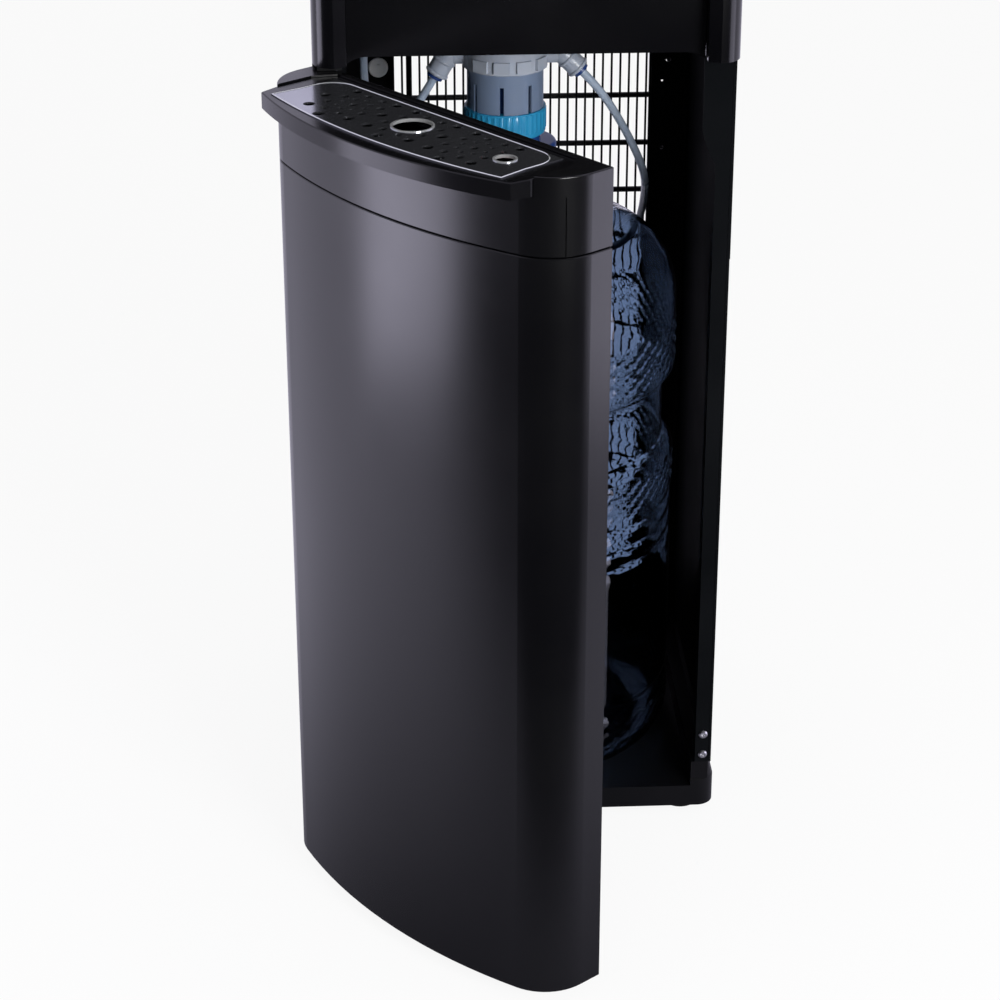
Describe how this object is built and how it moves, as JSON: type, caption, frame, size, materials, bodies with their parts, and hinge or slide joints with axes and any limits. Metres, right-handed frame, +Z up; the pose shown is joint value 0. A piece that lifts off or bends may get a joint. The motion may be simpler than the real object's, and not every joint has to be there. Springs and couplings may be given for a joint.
{
  "type": "bottom load water cooler",
  "caption": "Free-standing bottom-load water cooler with hinged bowed door, lift-out drip tray on the door, bottle bay with filter and hoses, rear wire condenser and dispensing head.",
  "frame": {"origin": "on the floor, on the cabinet's middle line, at the plane of its front edge", "axes": "+X to the right as you face the cooler, +Y to the back, +Z up"},
  "size_m": [0.3552, 0.5732, 1.055],
  "materials": {
    "door_black": "moulded, satin gloss",
    "door_inner_black": "matt",
    "door_seal_black": "matt",
    "hinge_black": "satin",
    "tray_black": "gloss",
    "grille_black": "fine textured, bright bevelled edge",
    "bright_ring": "polished",
    "float_red": "satin",
    "cabinet_black": "satin",
    "rear_black": "satin",
    "condenser_black": "matt",
    "base_black": "satin",
    "foot_rubber": "matt",
    "screw_steel": "bright",
    "plug_white": "satin",
    "bottle_blue": "clear, tinted",
    "cap_blue": "satin",
    "tube_white": "satin",
    "hose_grey": "translucent",
    "fitting_white": "frosted",
    "collet_blue": "satin",
    "canister_frost": "frosted",
    "ring_cyan": "clear, tinted",
    "filter_blue": "satin",
    "core_blue": "matt",
    "housing_black": "gloss",
    "fascia_grey": "gloss",
    "button_silver": "satin",
    "lens_clear": "clear",
    "spout_black": "gloss",
    "foam_white": "foam",
    "tank_steel": "brushed",
    "compressor_black": "gloss",
    "pipe_copper": "drawn",
    "pump_white": "satin",
    "fitting_black": "satin",
    "rocker_red": "gloss",
    "rocker_green": "gloss"
  },
  "bodies": {
    "cabinet": {"lower_hinge": "hinge_black", "upper_hinge": "hinge_black", "right_side_panel": "cabinet_black", "left_side_panel": "cabinet_black", "door_jambs": "cabinet_black", "mid_shelf": "cabinet_black", "tank_shelf": "cabinet_black", "rear_panel": "rear_black", "condenser_tube": "condenser_black", "condenser_wires": "condenser_black", "condenser_rails": "condenser_black", "base": "base_black", "feet": "foot_rubber", "jamb_screws": "screw_steel", "service_plug": "plug_white", "bottle": "bottle_blue", "probe_cap": "cap_blue", "suction_tube": "tube_white", "hose_bulkhead": "tube_white", "supply_hose": "hose_grey", "outlet_hose": "hose_grey", "right_elbow": "fitting_white", "left_elbow": "fitting_white", "filter_head": "fitting_white", "collets": "collet_blue", "front_housing": "housing_black", "top_cover": "housing_black", "alcove_panel": "housing_black", "fascia": "fascia_grey", "indicator_lenses": "lens_clear", "spouts": "spout_black", "cold_insulation": "foam_white", "cold_tank": "tank_steel", "hot_tank": "tank_steel", "compressor": "compressor_black", "discharge_pipe": "pipe_copper", "water_pump": "pump_white", "power_inlet": "fitting_black", "switch_plate": "fitting_black", "drain_plug": "fitting_black"},
    "door": {"door_shell": "door_black", "door_band": "door_black", "door_top": "door_black", "door_bottom_cap": "door_inner_black", "door_liner": "door_inner_black", "door_magnet": "door_seal_black"},
    "tray": {"drip_tray": "tray_black", "tray_basin": "tray_black"},
    "grille": {"tray_grille": "grille_black", "grille_rings": "bright_ring"},
    "float": {"tray_float": "float_red"},
    "filter": {"filter_canister": "canister_frost", "filter_ring": "ring_cyan", "filter_bottom_cap": "filter_blue", "filter_core": "core_blue"},
    "hot_key": {"hot_button": "button_silver"},
    "room_key": {"room_button": "button_silver"},
    "cold_key": {"cold_button": "button_silver"},
    "hot_switch": {"hot_rocker": "rocker_red"},
    "cold_switch": {"cold_rocker": "rocker_green"}
  },
  "joints": [
    {"name": "door_hinge", "type": "hinge", "parent": "cabinet", "child": "door", "pos_m": [-0.1455, -0.0055, 0.014], "axis": [0, 0, -1], "range_deg": [-51.5, 38.5]},
    {"name": "tray_lift", "type": "slide", "parent": "door", "child": "tray", "axis": [0, 0, 1], "range_m": [0, 0.06]},
    {"name": "grille_lift", "type": "slide", "parent": "tray", "child": "grille", "axis": [0, 0, 1], "range_m": [0, 0.04]},
    {"name": "float_rise", "type": "slide", "parent": "tray", "child": "float", "axis": [0, 0, 1], "range_m": [0, 0.004]},
    {"name": "filter_twist", "type": "hinge", "parent": "cabinet", "child": "filter", "pos_m": [-0.01, 0.11, 0.624], "axis": [0, 0, 1], "range_deg": [0, 50]},
    {"name": "hot_press", "type": "slide", "parent": "cabinet", "child": "hot_key", "axis": [0.1645, 0.9864, 0], "range_m": [0, 0.0025], "stiffness_N_per_m": 300, "springref_m": -0.003},
    {"name": "room_press", "type": "slide", "parent": "cabinet", "child": "room_key", "axis": [0, 1, 0], "range_m": [0, 0.0025], "stiffness_N_per_m": 300, "springref_m": -0.003},
    {"name": "cold_press", "type": "slide", "parent": "cabinet", "child": "cold_key", "axis": [-0.1645, 0.9864, 0], "range_m": [0, 0.0025], "stiffness_N_per_m": 300, "springref_m": -0.003},
    {"name": "cold_rocker_turn", "type": "hinge", "parent": "cabinet", "child": "cold_switch", "pos_m": [-0.12, 0.294, 0.96], "axis": [-1, 0, 0], "range_deg": [0, 16]},
    {"name": "hot_rocker_turn", "type": "hinge", "parent": "cabinet", "child": "hot_switch", "pos_m": [-0.088, 0.294, 0.96], "axis": [-1, 0, 0], "range_deg": [0, 16]}
  ]
}
